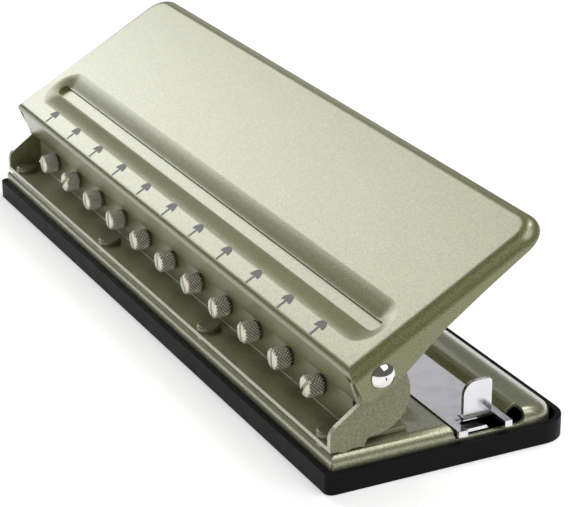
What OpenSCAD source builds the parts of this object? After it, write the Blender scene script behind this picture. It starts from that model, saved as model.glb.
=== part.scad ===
// Desk punch for disc-bound sheets: eleven mushroom punches under a wide pressed lid.
// Millimetres. X runs along the punch row towards the paper-guide end,
// +Y is the side where the sheet goes in, -Y the knob side, Z is up.
// Origin: middle of the tray's underside.

/* [Punch row] */
// Distance between neighbouring punches
pitch = 25.4; // [24.4:0.1:25.4]
// Radius of a punch's half-round cutting head
head_r = 3.2; // [2.9:0.1:3.3]
// Width of a punch's stem
stem_w = 3.6; // [3.2:0.1:4]
// Length of a punch's stem behind its axis
stem_l = 6.3; // [6:0.1:6.6]
// Height of the slot that the sheet goes into
slot_h = 2.3; // [2:0.1:2.6]
// Thickness of the die plate
die_t = 2; // [1.6:0.1:2.4]
// Thickness of the stripper plate
strip_t = 2; // [1.6:0.1:2.2]

/* [Tray and base] */
// Overall length
tray_l = 322.8; // [320:0.2:328]
// Overall depth
tray_d = 97.4; // [96:0.2:102]
// Height of the tray's wall
tray_h = 7.5; // [6.5:0.1:8]
// Thickness of the tray's wall
tray_wall = 2.3; // [2:0.1:2.6]
// Thickness of the tray's floor
tray_floor = 1.6; // [1.2:0.1:2]
// Radius of the tray's front corners
tray_r = 11; // [9:0.5:13]
// Height of the base plate's top
base_top = 13.3; // [12.8:0.1:14.2]
// Thickness of the base plate's sheet
base_t = 1.5; // [1.2:0.1:1.6]
// Radius of the base plate's end edges
base_edge = 4; // [3.5:0.1:4.5]
// Radius of the base plate's front corners
base_r = 13; // [11:0.5:16]

/* [Frame] */
// Thickness of the frame's floor
floor_t = 1.6; // [1.4:0.1:2]
// Thickness of an ear
ear_t = 2; // [1.8:0.1:2.2]
// Diameter of a floor rivet's button
button_d = 9.2; // [8:0.1:10]
// Height of a floor rivet's button
button_h = 2.2; // [1.8:0.1:2.6]
// Thickness of the punch housing's sheet
housing_t = 1.5; // [1.2:0.1:1.6]

/* [Lid] */
// Depth of the lid from rear edge to front edge
lid_d = 85; // [82:0.2:87]
// Thickness of the lid's sheet
lid_t = 1.2; // [1:0.1:1.3]
// Radius of the lid's rounded edges
lid_edge = 5; // [4:0.1:6]
// Radius of the lid's front corners
lid_r = 11; // [9.5:0.5:13]
// Rise of the lid at rest
lid_tilt = 29.6; // [29:0.1:30.2]
// Half width of the trough's mouth
trough_w = 9.8; // [9:0.1:10]
// Diameter of a pivot rivet's domed head
dome_d = 9; // [8:0.1:9.6]

/* [Knobs] */
// Diameter of a knob
knob_d = 8.2; // [7.2:0.1:8.6]
// Length of a knob
knob_l = 7.1; // [6.2:0.1:7.3]
// Width of a knob's slot
knob_slot = 1.5; // [1.1:0.1:1.7]

/* [Paper guide] */
// Width of the guide plate
guide_w = 21.3; // [20:0.1:22]
// Thickness of the guide plate
guide_t = 1.6; // [1.4:0.1:1.7]
// Length of the guide plate
guide_l = 150; // [146:1:152]
// Height of the stop tab above the plate
tab_h = 12.9; // [11:0.1:13.5]
// Way the guide can be pulled out
guide_travel = 60; // [50:1:60]

/* [Hidden] */
$fn = 64;

// Clearances: between pieces that move apart, in a running fit, and for a sliding punch
gap = 0.3;
run_fit = 0.06;
punch_fit = 0.1;

// Lengths along X
tray_hx = tray_l / 2;
base_hx = tray_hx - tray_wall - gap;
ear_x = base_hx - 1.7;
washer_t = 1.9;
lid_hx = ear_x + washer_t + gap + 0.06 + lid_t;
dome_x = lid_hx + gap;
dome_h = 2.2;
housing_hx = ear_x - 8.1;
rivet_x = ear_x - 10;
block_w = 6;
screw_x = housing_hx - block_w / 2;
bar_hx = 5 * pitch + 14;

// Depths along Y, from the rear edge forward
tray_y0 = -tray_d / 2;
tray_y1 = tray_d / 2;
base_y0 = tray_y0 + tray_wall + gap;
base_y1 = tray_y1 - tray_wall - gap;
frame_y0 = base_y0 + 0.5;
rivet_y = frame_y0 + 5.1;
wall_y = frame_y0 + 12.8;
pivot_y = wall_y + 5.43;
punch_y = wall_y + 13.3;
floor_y1 = punch_y + 5.7;
front_y = floor_y1 + 0.2;
guide_y0 = floor_y1 + 16.1;
guide_y1 = guide_y0 + guide_w;
guide_y = (guide_y0 + guide_y1) / 2;

// Paper guide: rivets towards its inner end, keeper plate and leaf spring
guide_end_x = base_hx + 2.2;
pin_inset = 19;
pin_pitch = 30;
pin_x1 = guide_end_x - guide_l + pin_inset;
pin_x2 = pin_x1 + pin_pitch;
keeper_over = 7;
keeper_w = 12;
spring_l = 30;
spring_x0 = base_hx - spring_l;
spring_pin_x = spring_x0 + 4;

// Heights
rear_top = base_top - 0.6;
floor_z0 = base_top + 0.2;
floor_z = floor_z0 + floor_t;
die_z = floor_z + die_t;
slot_z = die_z + slot_h;
strip_z = slot_z + strip_t;
knob_z = 24.2 + (base_top - 13.3) + (floor_t - 1.6) + (die_t - 2) + (slot_h - 2.3) + (strip_t - 2);
wall_z = knob_z + 5.2;
pivot_z = knob_z + 15.32;
channel_z = base_top - 3.5;
notch_z = channel_z - 1.2;
guide_z0 = channel_z + 0.9;
guide_z = guide_z0 + guide_t;

// Press: the lid's flat trough bottom meets a round-topped bar over the punches
pivot_u = 8.95;
pivot_drop = 8.85;
trough_u = 19.2;
dish_depth = 2.2;
slot_depth = 3.2;
slot_half = 2.5;
bar_r = 2.5;
rear_lean = 1.6;
press_gap = 0.85;
stroke = 5.3;
press_reach = punch_y - pivot_y;
press_level = pivot_drop - slot_depth - lid_t;
bar_round_z = pivot_z + (press_level - bar_r + press_reach * sin(lid_tilt)) / cos(lid_tilt) - press_gap;
bar_z0 = bar_round_z - 3.4;

// Pins and small fixings
pin_r = 2.5;
rivet_r = 2.25;
screw_r = 1.5;
sink_r = 2.9;
shank_r = 3;
tenon_r = 2;
knob_shank_r = 2;
dog_r = 0.8;
tip_z = slot_z + 0.1;
section_z1 = wall_z - housing_t - 0.7;
shoulder_z = knob_z - dog_r - gap;
stem_y0 = punch_y - stem_l;
slot_turn = [8, -52, 6, 4, 24, 3, 32, 5, 7, 4, -42];

// X of punch number k, counted from 1 at the far end
function row_x(k) = pitch * (k - 6);

// Plan outline of a pan with its own front and rear corner radii
module plan_outline(hx, y0, y1, front_r, rear_r) {
    translate([-hx, y0 + rear_r]) square([2 * hx, y1 - front_r - y0 - rear_r]);
    translate([-hx + front_r, y0 + rear_r]) square([2 * (hx - front_r), y1 - y0 - rear_r]);
    translate([-hx + rear_r, y0]) square([2 * (hx - rear_r), y1 - front_r - y0]);
    for (s = [-1, 1]) {
        translate([s * (hx - front_r), y1 - front_r]) circle(r = front_r);
        translate([s * (hx - rear_r), y0 + rear_r]) circle(r = rear_r);
    }
}

// Upright section with both upper corners rounded
module round_top(half, edge, top, deep) {
    translate([-half, top - deep]) square([2 * half, deep - edge]);
    translate([-half + edge, top - edge - 1]) square([2 * (half - edge), edge + 1]);
    for (s = [-1, 1]) translate([s * (half - edge), top - edge]) circle(r = edge);
}

// Upright section with only the upper front corner rounded
module round_front(y0, y1, edge, top, deep) {
    translate([y0, top - deep]) square([y1 - y0, deep - edge]);
    translate([y0, top - edge - 1]) square([y1 - edge - y0, edge + 1]);
    translate([y1 - edge, top - edge]) circle(r = edge);
}

// Solid pan, rounded along both sides, the front and the front corners
module pan(hx, y0, y1, corner, edge, top, deep) {
    translate([0, y1 - corner, 0]) rotate([90, 0, 0]) linear_extrude(y1 - corner - y0)
        round_top(hx, edge, top, deep);
    translate([corner - hx, 0, 0]) rotate([90, 0, 90]) linear_extrude(2 * (hx - corner))
        round_front(y0, y1, edge, top, deep);
    for (s = [-1, 1]) translate([s * (hx - corner), y1 - corner, 0]) rotate_extrude()
        intersection() {
            round_top(corner, edge, top, deep);
            translate([0, top - deep]) square([corner, deep]);
        }
}

// A prism with its section drawn in Y and Z
module along_x(x0, x1) {
    translate([x0, 0, 0]) rotate([90, 0, 90]) linear_extrude(x1 - x0) children();
}

// Mushroom section of a punch: half-round head to the front, stem to the rear
module punch_section(grow, stem) {
    intersection() {
        circle(r = head_r + grow);
        translate([-10, -grow]) square([20, 20]);
    }
    translate([-stem_w / 2 - grow, -stem - grow]) square([stem_w + 2 * grow, stem + 2 * grow]);
}

// All eleven mushroom holes through a plate
module punch_holes(grow, z0, z1) {
    for (k = [1:11]) translate([row_x(k), punch_y, z0]) linear_extrude(z1 - z0) punch_section(grow, stem_l);
}

// Black tray under the base: catches the chips and stands on the desk
module chip_tray() {
    color([0.05, 0.05, 0.05]) difference() {
        linear_extrude(tray_h) plan_outline(tray_hx, tray_y0, tray_y1, tray_r, 3);
        translate([0, 0, tray_floor]) linear_extrude(tray_h)
            plan_outline(tray_hx - tray_wall, tray_y0 + tray_wall, tray_y1 - tray_wall,
                tray_r - tray_wall, 3 - tray_wall - 0.1);
    }
}

// Section under the base plate's top, with a sheet thickness taken off
module base_section(t) {
    z = base_top - t;
    step_y = rivet_y + 5;
    rise_y = guide_y1 + 0.4;
    crest_y = guide_y1 + 7.1;
    front_y1 = base_y1 - 2;
    front_z = base_top - 6.4;
    wall = [for (p = [[-2.7, 0], [-1.9, -0.25], [-1.3, -0.75], [-0.9, -1.5], [-0.7, -2.4], [-0.7, channel_z - base_top]])
        [guide_y0 + p[0] - 0.9 * t, z + p[1]]];
    rise = [for (i = [0:10]) [rise_y + 0.6 * i, channel_z - t + (base_top - channel_z) * (1 - cos(18 * i)) / 2]];
    fall = [for (i = [0:8]) [crest_y + (front_y1 - crest_y) * i / 8, z - 3.56 * pow(i / 8, 2)]];
    polygon(concat([[base_y0 + t, 0], [base_y0 + t, rear_top - 3], [base_y0 + 3, rear_top - t], [step_y, rear_top - t],
        [step_y + 4, z]], wall, rise, fall, [[base_y1 - t, front_z], [base_y1 - t, 0]]));
    translate([base_y0 + 3, rear_top - 3]) circle(r = 3 - t);
    translate([base_y1 - 3, front_z]) circle(r = 3 - t);
}

// Dip between the frame's front edge and the ridge beside the guide, with sloping ends
module front_dip(t) {
    dip_w = 9;
    dip_depth = 1.9;
    dip_hx = ear_x - 15;
    z = base_top - t;
    slope = [for (i = [0:8]) [dip_w * i / 8, z - dip_depth * (1 + cos(22.5 * i)) / 2]];
    translate([0, floor_y1 + 0.3, 0]) intersection() {
        along_x(-base_hx, base_hx) polygon(concat([[-t, z + 5], [-t, z - dip_depth]], slope,
            [[dip_w + 4, z + 0.26], [dip_w + 4, z + 5]]));
        translate([0, 30, 0]) rotate([90, 0, 0]) linear_extrude(40)
            polygon([[-dip_hx - 2 * dip_w, z + dip_depth], [-dip_hx, z - dip_depth - 0.01],
                [dip_hx, z - dip_depth - 0.01], [dip_hx + 2 * dip_w, z + dip_depth]]);
    }
}

// Pressed sheet base with the guide channel, its end notch and the chip opening
module base_plate() {
    foot_z = tray_floor + gap;
    color([0.45, 0.46, 0.36]) difference() {
        union() {
            difference() {
                intersection() {
                    pan(base_hx, base_y0, base_y1, base_r, base_edge, base_top, base_top - foot_z);
                    along_x(-base_hx - 1, base_hx + 1) base_section(0);
                }
                front_dip(0);
                difference() {
                    intersection() {
                        pan(base_hx - base_t, base_y0 + base_t, base_y1 - base_t, base_r - base_t,
                            base_edge - base_t, base_top - base_t, base_top);
                        along_x(-base_hx, base_hx) base_section(base_t);
                    }
                    front_dip(base_t);
                }
            }
            for (x = [-rivet_x, -rivet_x / 3, rivet_x / 3, rivet_x])
                translate([x, rivet_y, rear_top - base_t]) cylinder(d = 9, h = floor_z0 - rear_top + base_t);
            for (s = [-1, 1]) translate([s * rivet_x, floor_y1 - 4.5, base_top - base_t])
                cylinder(d = 7, h = floor_z0 - base_top + base_t);
        }
        for (x = [-rivet_x, -rivet_x / 3, rivet_x / 3, rivet_x])
            translate([x, rivet_y, 2]) cylinder(r = rivet_r, h = base_top);
        translate([-bar_hx, stem_y0 - 2, base_top - base_t - 1])
            cube([2 * bar_hx, floor_y1 - 1.5 - stem_y0 + 2, base_t + 2]);
        along_x(base_hx - 7, base_hx + 1) {
            polygon([[guide_y0 - 0.5, base_top + 5], [guide_y0 - 0.5, channel_z + 0.6], [guide_y0, notch_z],
                [guide_y1 + 3.9, notch_z], [guide_y1 + 3.9, base_top + 5]]);
            translate([guide_y0, notch_z + 2.9]) square([guide_w + 6.8, 6]);
            translate([guide_y1 + 3.9, notch_z + 2.9]) circle(r = 2.9);
        }
        translate([base_hx - 11, guide_y0 + 0.5, channel_z - base_t - 1])
            cube([11 - base_t, guide_w + 2, 6]);
        translate([pin_x1 - 2.3, guide_y - 2.1, channel_z - base_t - 1])
            cube([pin_pitch + guide_travel + 4.6, 4.2, base_t + 2]);
        translate([spring_pin_x, guide_y, 2]) cylinder(r = screw_r, h = base_top);
        for (s = [-1, 1]) {
            translate([s * base_hx - 1, base_y0 - 0.3, 0]) cube([2, 0.9, rear_top - 3.2]);
            translate([s * base_hx - 1, base_y0 + 0.3, rear_top - 3.2]) rotate([0, 90, 0])
                cylinder(r = 0.8, h = 2);
        }
    }
}

// Outline of an ear: slanted rear edge, round front edge, raised front foot
module ear_outline() {
    bend_y = frame_y0 + 16.4;
    bend_z = floor_z0 + 17.2;
    neck_y = frame_y0 + 11.7;
    rear_z = floor_z0 + 4.7;
    intersection() {
        union() {
            translate([bend_y, bend_z]) circle(r = 14.2);
            translate([pivot_y, pivot_z]) circle(r = 7);
        }
        translate([pivot_y, pivot_z]) rotate(lid_tilt) translate([-20, -40]) square([60, 47]);
        translate([neck_y, floor_z0 + 3]) square([40, 60]);
    }
    translate([frame_y0 + 5.4, rear_z]) circle(r = 5.4);
    polygon([[frame_y0, floor_z0], [frame_y0, rear_z], [frame_y0 + 5.4, rear_z],
        [frame_y0 + 2.2, rear_z + 4.35], [neck_y - 0.6, floor_z0 + 15.4], [neck_y - 3.4, floor_z0 + 23.6],
        [neck_y - 2.6, floor_z0 + 25], [pivot_y - 2, pivot_z + 2], [bend_y, bend_z],
        [bend_y + 4, bend_z - 13.6], [frame_y0 + 15.7, floor_z0 + 3.1], [frame_y0 + 14.3, floor_z0 + 2.5], [frame_y0 + 13.1, floor_z0 + 0.5], [frame_y0 + 13.1, floor_z0]]);
}

// Frame: floor with chip holes and an upright ear at each end
module side_frame() {
    color([0.5, 0.51, 0.41]) difference() {
        union() {
            translate([-ear_x + ear_t, frame_y0, floor_z0])
                cube([2 * (ear_x - ear_t), floor_y1 - frame_y0, floor_t]);
            along_x(ear_x - ear_t, ear_x) ear_outline();
            along_x(-ear_x, ear_t - ear_x) ear_outline();
        }
        punch_holes(0.6, floor_z0 - 1, floor_z + 0.5);
        for (x = [-rivet_x, -rivet_x / 3, rivet_x / 3, rivet_x])
            translate([x, rivet_y, floor_z0 - 1]) cylinder(r = rivet_r, h = floor_t + 2);
        for (s = [-1, 1]) {
            translate([s * (ear_x + 0.9) - 5, frame_y0 + 14.4, floor_z0 - 1]) cube([10, 30, floor_t + 1.3]);
            translate([s * ear_x, pivot_y, pivot_z]) rotate([0, 90, 0])
                cylinder(r = pin_r, h = 3 * ear_t, center = true);
            for (y = [pivot_y, punch_y + 1.5]) translate([s * screw_x, y, floor_z0])
                cylinder(r1 = sink_r, r2 = screw_r, h = floor_t);
        }
    }
}

// Four button rivets that hold the frame on the base
module frame_rivets() {
    edge = 0.7;
    color([0.4, 0.41, 0.32]) for (x = [-rivet_x, -rivet_x / 3, rivet_x / 3, rivet_x])
        translate([x, rivet_y, 0]) {
            translate([0, 0, rear_top - base_t - 1.2]) cylinder(r = rivet_r, h = floor_z - rear_top + base_t + 1.2);
            translate([0, 0, rear_top - base_t - 1.2]) cylinder(r = rivet_r + 1, h = 1.2);
            translate([0, 0, floor_z]) rotate_extrude() {
                square([button_d / 2, button_h - edge]);
                square([button_d / 2 - edge, button_h]);
                translate([button_d / 2 - edge, button_h - edge]) circle(r = edge);
            }
        }
}

// Hard plate with the eleven cutting holes
module die_plate() {
    color([0.62, 0.63, 0.64]) difference() {
        translate([-housing_hx, wall_y + housing_t, floor_z])
            cube([2 * housing_hx, floor_y1 - wall_y - housing_t, die_t]);
        punch_holes(punch_fit, floor_z - 1, die_z + 1);
        for (s = [-1, 1], y = [pivot_y, punch_y + 1.5])
            translate([s * screw_x, y, floor_z - 1]) cylinder(r = screw_r, h = die_t + 2);
    }
}

// Inverted channel that carries the knobs and guides the punches' shanks
module punch_housing() {
    color([0.47, 0.48, 0.4]) difference() {
        union() {
            translate([-housing_hx, wall_y, floor_z]) cube([2 * housing_hx, housing_t, wall_z - floor_z]);
            translate([-housing_hx, wall_y, wall_z - housing_t])
                cube([2 * housing_hx, front_y + housing_t - wall_y, housing_t]);
            translate([-housing_hx, front_y, slot_z]) cube([2 * housing_hx, housing_t, wall_z - slot_z]);
            for (s = [-1, 1]) {
                translate([s * (housing_hx - housing_t / 2) - housing_t / 2, wall_y, die_z])
                    cube([housing_t, front_y + housing_t - wall_y, wall_z - die_z]);
                translate([s * (housing_hx - block_w / 2) - block_w / 2, wall_y, die_z])
                    cube([block_w, floor_y1 - wall_y, slot_h + 0.01]);
            }
        }
        translate([-housing_hx - 0.01, wall_y + housing_t, floor_z - 1])
            cube([2 * housing_hx + 0.02, floor_y1 - wall_y - housing_t, die_t + 1]);
        translate([block_w - housing_hx, wall_y + housing_t, die_z - 1])
            cube([2 * (housing_hx - block_w), front_y + 5 - wall_y, slot_z - die_z + 1]);
        for (k = [1:11]) {
            translate([row_x(k), wall_y - 1, knob_z]) rotate([-90, 0, 0])
                cylinder(r = knob_shank_r + run_fit, h = housing_t + 2);
            translate([row_x(k), punch_y, wall_z - housing_t - 1]) cylinder(r = shank_r + punch_fit, h = housing_t + 2);
        }
        for (s = [-1, 1], y = [pivot_y, punch_y + 1.5])
            translate([s * screw_x, y, die_z - 1]) cylinder(r = screw_r, h = slot_h + 1);
    }
}

// Countersunk screws up through floor and die into the housing's end blocks
module housing_screws() {
    color([0.7, 0.7, 0.7]) for (s = [-1, 1], y = [pivot_y, punch_y + 1.5])
        translate([s * screw_x, y, floor_z0]) difference() {
            union() {
                cylinder(r1 = sink_r, r2 = screw_r, h = floor_t);
                cylinder(r = screw_r, h = floor_t + die_t + slot_h - 0.2);
            }
            translate([-0.3, -3, -1]) cube([0.6, 6, 1.7]);
        }
}

// Plate that guides the punches' cutting ends and strips the sheet off them
module stripper_plate() {
    hx = housing_hx - housing_t;
    color([0.62, 0.63, 0.64]) difference() {
        translate([-hx, wall_y + housing_t, slot_z]) cube([2 * hx, front_y - wall_y - housing_t, strip_t]);
        punch_holes(punch_fit, slot_z - 1, strip_z + 1);
    }
}

// Comb that stops the sheet's edge between the punch stems
module paper_stop() {
    hx = housing_hx - block_w;
    color([0.5, 0.5, 0.5]) difference() {
        translate([-hx, stem_y0 - 2.7, die_z]) cube([2 * hx, 4.7, slot_h]);
        for (k = [1:11]) translate([row_x(k) - stem_w / 2 - 0.4, stem_y0 - 0.4, die_z - 1])
            cube([stem_w + 0.8, 5, slot_h + 2]);
    }
}

// Domed rivets that the lid turns on, clenched inside the ears
module pivot_rivets() {
    ball = (pow(dome_d / 2, 2) + pow(dome_h, 2)) / (2 * dome_h);
    inner_x = ear_x - ear_t - 1.2;
    color([0.86, 0.86, 0.86]) for (s = [-1, 1])
        translate([0, pivot_y, pivot_z]) rotate([0, 90 * s, 0]) rotate_extrude() {
            translate([0, inner_x]) square([pin_r, dome_x + dome_h / 2 - inner_x]);
            translate([0, inner_x]) square([pin_r + 1.2, 1.2]);
            intersection() {
                translate([0, dome_x + dome_h - ball]) circle(r = ball);
                translate([0, dome_x]) square([dome_d / 2, dome_h + 1]);
            }
        }
}

// Spacing washers between the ears and the lid's side skirts
module pivot_washers() {
    color([0.72, 0.72, 0.72]) for (s = [-1, 1])
        translate([s * (ear_x + washer_t / 2), pivot_y, pivot_z]) rotate([0, 90, 0]) difference() {
            cylinder(r = pin_r + 2, h = washer_t, center = true);
            cylinder(r = pin_r, h = washer_t + 1, center = true);
        }
}

// Leaf spring under the channel that steadies the paper guide
module guide_spring() {
    x0 = spring_x0;
    z0 = channel_z - base_t - 0.6;
    color([0.75, 0.75, 0.76]) difference() {
        translate([0, guide_y + 4, 0]) rotate([90, 0, 0]) linear_extrude(8)
            polygon([[x0, z0], [x0 + 21, z0], [x0 + 26, z0 + 1.4], [x0 + 27.5, z0 + 1.1],
                [x0 + 27.5, z0 + 0.5], [x0 + 26, z0 + 0.8], [x0 + 21, z0 - 0.6], [x0, z0 - 0.6]]);
        translate([spring_pin_x, guide_y, 0]) cylinder(r = screw_r, h = base_top);
    }
}

// Rivet that fixes the leaf spring under the channel, with a spacing collar
module guide_spring_rivet() {
    z0 = channel_z - base_t - 0.6;
    color([0.7, 0.7, 0.7]) translate([spring_pin_x, guide_y, 0]) {
        translate([0, 0, z0 - 1.4]) cylinder(r = screw_r, h = channel_z - z0 + 1.4);
        translate([0, 0, z0 - 1.4]) cylinder(r = screw_r + 1, h = 0.8);
        translate([0, 0, z0]) cylinder(r = screw_r + 1, h = 0.6);
    }
}

// Stadium-shaped block along the trough; half lists its section from the middle outwards and back
module stadium(straight, half) {
    n = len(half);
    other = [for (i = [n - 1:-1:0]) if (half[i][0] > 0) [-half[i][0], half[i][1]]];
    translate([-straight, trough_u, 0]) rotate([90, 0, 90]) linear_extrude(2 * straight)
        polygon(concat(half, other));
    for (s = [-1, 1]) translate([s * straight, trough_u, 0]) rotate_extrude() polygon(half);
}

// Side section of the lid: rounded rear edge, leaning rear skirt and a tapering side skirt
module lid_section() {
    polygon([[2.3, 0], [lid_d + 1, 0], [lid_d + 1, -5.2], [75, -5.9], [55, -7.4], [36, -9.4], [28, -11], [23, -12.1],
        [19, -12.9], [15.7, -13.7], [8.8, -14.3], [2, -14.5], [-0.7 - rear_lean, -14.5], [-0.7, -3]]);
    translate([2.3, -3]) circle(r = 3);
}

// Lid lying flat: rear top edge at Y = 0, top face at Z = 0
module lid_flat() {
    straight = lid_hx - 19;
    slot_straight = straight + 3.4;
    mouth = trough_w + 0.6;
    foot = slot_half + 0.4;
    inner_hx = lid_hx - lid_t;
    difference() {
        union() {
            difference() {
                intersection() {
                    pan(lid_hx, -3, lid_d, lid_r, lid_edge, 0, 20);
                    along_x(-lid_hx - 1, lid_hx + 1) lid_section();
                }
                intersection() {
                    pan(inner_hx, -6, lid_d - lid_t, lid_r - lid_t, lid_edge - lid_t, -lid_t, 22);
                    along_x(-lid_hx - 1, lid_hx + 1) {
                        polygon([[2.3, -lid_t], [lid_d, -lid_t], [lid_d, -25], [lid_t - 0.7 - rear_lean * 1.92, -25], [lid_t - 0.7, -3]]);
                        translate([2.3, -3]) circle(r = 3 - lid_t);
                    }
                }
            }
            stadium(straight, [[0, -0.4], [trough_w + 3, -0.4], [slot_half + 3, -dish_depth - lid_t],
                [0, -dish_depth - lid_t]]);
            stadium(slot_straight, [[0, -dish_depth], [slot_half + lid_t, -dish_depth],
                [slot_half + lid_t, -slot_depth - lid_t], [0, -slot_depth - lid_t]]);
        }
        stadium(straight, concat([[0, 1], [mouth + 1, 1], [mouth + 1, 0.06]],
            [for (i = [0:6]) [mouth - (mouth - foot) * i / 6, -0.07 - (dish_depth - 0.07) * pow(i / 6, 1.25)]],
            [[0, -dish_depth]]));
        stadium(slot_straight, [[0, 1], [slot_half, 1], [slot_half, -slot_depth], [0, -slot_depth]]);
        for (s = [-1, 1]) {
            translate([s * (lid_hx + 1), pivot_u, -pivot_drop]) rotate([0, 90, 0])
                cylinder(r = pin_r + run_fit, h = 8, center = true);
            translate([s * (inner_hx - 2.28) - 2.28, -4, -25]) cube([4.56, 5.6, 22.4]);
            translate([s * lid_hx - 1.9, 0, 0]) along_x(0, 3.8)
                polygon([[-4, -2.6], [-0.3, -2.6], [-1.35, -11.9], [-0.4, -12.95], [2.5, -13.97], [8.8, -14.35],
                    [8.8, -17], [-4, -17]]);
        }
    }
}

// Wide pressed lid, raised as at rest
module lid() {
    color([0.78, 0.79, 0.69]) translate([0, pivot_y, pivot_z]) rotate([lid_tilt, 0, 0])
        translate([0, -pivot_u, pivot_drop]) lid_flat();
}

// Round-topped bar on the punches, pressed by the bottom of the lid's trough
module press_bar() {
    color([0.55, 0.56, 0.57]) difference() {
        along_x(-bar_hx, bar_hx) {
            translate([punch_y - bar_r, bar_z0]) square([2 * bar_r, bar_round_z - bar_z0]);
            translate([punch_y, bar_round_z]) circle(r = bar_r);
        }
        for (k = [1:11]) translate([row_x(k), punch_y, bar_z0 - 1]) cylinder(r = tenon_r, h = 3.4);
    }
}

// One turn of the wound wire, as rings of points along a rising helix
module coil(mean_r, wire_r, z0, z1, turns) {
    steps = turns * 12;
    sides = 6;
    points = [for (i = [0:steps], j = [0:sides - 1])
        let (a = 360 * i / 12, b = 360 * j / sides, r = mean_r + wire_r * cos(b))
        [r * cos(a), r * sin(a), z0 + wire_r + (z1 - z0 - 2 * wire_r) * i / steps + wire_r * sin(b)]];
    walls = [for (i = [0:steps - 1], j = [0:sides - 1], t = [0, 1])
        let (n = (j + 1) % sides, p = i * sides + j, q = i * sides + n)
        t == 0 ? [p, q, p + sides] : [q, q + sides, p + sides]];
    ends = [[for (j = [0:sides - 1]) sides - 1 - j], [for (j = [0:sides - 1]) steps * sides + j]];
    polyhedron(points, concat(walls, ends), convexity = 8);
}

// Point on the middle line of a coil after a number of steps of 30 degrees
function coil_point(mean_r, wire_r, z0, z1, steps, i) =
    [mean_r * cos(30 * i), mean_r * sin(30 * i), z0 + wire_r + (z1 - z0 - 2 * wire_r) * i / steps];

// Return springs round the shanks, between housing and press bar; prints the least gap between turns
module return_springs() {
    line = [for (i = [0:72]) coil_point(shank_r + 0.9, 0.4, wall_z, bar_z0, 72, i)];
    echo(spring_gap = min([for (i = [0:62], j = [i + 10:72]) norm(line[i] - line[j])]) - 0.8);
    color([0.7, 0.7, 0.72]) for (k = [1:11]) translate([row_x(k), punch_y, 0])
        coil(shank_r + 0.9, 0.4, wall_z, bar_z0, 6);
}

// One punch: mushroom cutting end, a shoulder under the knob's point, round shank and tenon
module punch(k) {
    color([0.6, 0.61, 0.62]) translate([row_x(k), punch_y, 0]) {
        translate([0, 0, tip_z]) linear_extrude(shoulder_z - tip_z) punch_section(0, stem_l);
        translate([0, 0, tip_z]) linear_extrude(section_z1 - tip_z) punch_section(0, 2.4);
        translate([0, 0, section_z1]) cylinder(r = shank_r, h = bar_z0 - section_z1);
        translate([0, 0, bar_z0 - 1]) cylinder(r = tenon_r, h = 3.4);
    }
}

module punch_01() { punch(1); }
module punch_02() { punch(2); }
module punch_03() { punch(3); }
module punch_04() { punch(4); }
module punch_05() { punch(5); }
module punch_06() { punch(6); }
module punch_07() { punch(7); }
module punch_08() { punch(8); }
module punch_09() { punch(9); }
module punch_10() { punch(10); }
module punch_11() { punch(11); }

// One slotted thumb screw; its point holds down the shoulder of a punch's stem
module knob(k) {
    r = knob_d / 2;
    reach = stem_y0 - wall_y;
    color([0.8, 0.79, 0.76]) translate([row_x(k), wall_y - gap, knob_z]) rotate([90, 0, 0]) {
        difference() {
            rotate_extrude() polygon([[0, 0], [r - 1.1, 0], [r - 0.35, 0.5], [r, 1.5], [r, knob_l - 0.9],
                [r - 0.5, knob_l - 0.3], [r - 1.6, knob_l], [0, knob_l + 0.1]]);
            rotate(slot_turn[k - 1]) translate([-knob_slot / 2, -r - 1, knob_l - 1.6])
                cube([knob_slot, 2 * r + 2, 3]);
        }
        translate([0, 0, -gap - reach + 0.5]) cylinder(r = knob_shank_r, h = gap + reach - 0.5);
        translate([0, 0, -gap - reach - 1.1]) cylinder(r = dog_r, h = gap + reach);
    }
}

module knob_01() { knob(1); }
module knob_02() { knob(2); }
module knob_03() { knob(3); }
module knob_04() { knob(4); }
module knob_05() { knob(5); }
module knob_06() { knob(6); }
module knob_07() { knob(7); }
module knob_08() { knob(8); }
module knob_09() { knob(9); }
module knob_10() { knob(10); }
module knob_11() { knob(11); }

// Chrome guide plate: forked outer end with an upturned stop tab
module paper_guide() {
    end_x = guide_end_x;
    tab_x = base_hx - 8.8;
    tab_y0 = guide_y0 + 7.2;
    tab_y1 = guide_y1 - 2.8;
    color([0.83, 0.83, 0.85]) difference() {
        union() {
            translate([end_x - guide_l, guide_y0, guide_z0]) cube([guide_l, guide_w, guide_t]);
            translate([end_x - 1.2, guide_y0, guide_z0 - 0.6]) cube([1.2, guide_w, guide_t]);
            along_x(tab_x, tab_x + guide_t) {
                translate([tab_y0, guide_z0]) square([tab_y1 - tab_y0, guide_t + tab_h - 5]);
                translate([tab_y0 + 5, guide_z0]) square([tab_y1 - tab_y0 - 6.5, guide_t + tab_h]);
                translate([tab_y0 + 5, guide_z + tab_h - 5]) circle(r = 5);
                translate([tab_y1 - 6, guide_z0]) square([6, guide_t + tab_h - 1.5]);
                translate([tab_y1 - 1.5, guide_z + tab_h - 1.5]) circle(r = 1.5);
            }
        }
        translate([tab_x + guide_t, guide_y0 + 3.5, guide_z0 - 2]) cube([20, guide_w - 6.3, 2 * guide_t + 1]);
        translate([tab_x - 0.6, tab_y0 - 1.2, guide_z0 - 1]) cube([guide_t + 1, 1.2, guide_t + 2]);
        translate([tab_x + guide_t - 0.35, tab_y0 - 0.1, guide_z + 0.1]) cube([1, tab_y1 - tab_y0 + 0.2, 0.5]);
        for (x = [pin_x1, pin_x2]) translate([x, guide_y, guide_z0 - 1])
            cylinder(r = screw_r, h = guide_t + 2);
    }
}

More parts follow.
